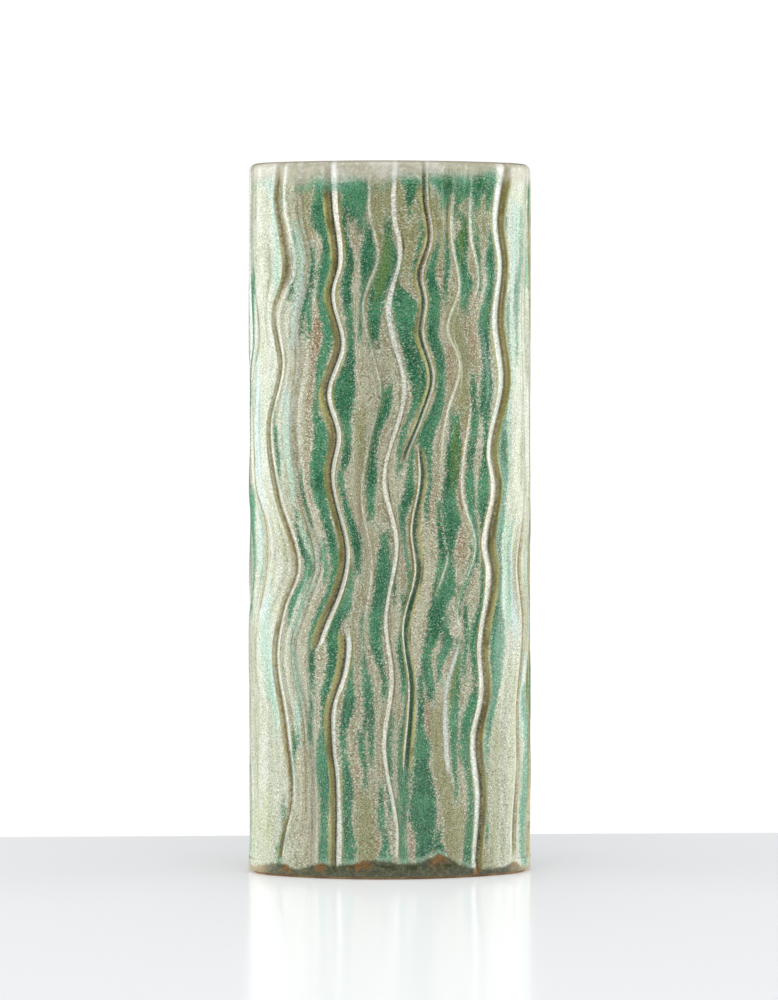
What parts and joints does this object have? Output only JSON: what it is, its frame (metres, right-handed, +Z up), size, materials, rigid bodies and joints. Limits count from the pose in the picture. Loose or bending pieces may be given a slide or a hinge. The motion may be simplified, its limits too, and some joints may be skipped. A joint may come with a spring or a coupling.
{
  "type": "vase",
  "caption": "Tall oval stoneware vase with a flat foot and a rounded open lip, carved with wavy upright creases and glazed inside and out.",
  "frame": {"origin": "middle of the resting face, on the surface the vase stands on", "axes": "+Z up to the lip, +X along the wide way of the oval, and the carved front that is normally shown faces -Y"},
  "size_m": [0.112, 0.062, 0.28],
  "materials": {
    "stoneware": "bare fired buff stoneware, fine grit",
    "streaked_glaze": "satin-gloss glaze in upright streaks of copper green, oatmeal and pale celadon",
    "pale_rim_glaze": "thin pale glossy glaze over the lip",
    "dark_foot_glaze": "thick dark olive glaze with rust spots",
    "liner_glaze": "smooth glossy pale liner glaze"
  },
  "bodies": {
    "root": {"body_wall": "stoneware", "base_slab": "stoneware", "corner_coil": "stoneware", "outer_glaze": "streaked_glaze", "rim_glaze": "pale_rim_glaze", "foot_glaze_band": "dark_foot_glaze", "liner_glaze": "liner_glaze"}
  },
  "joints": []
}
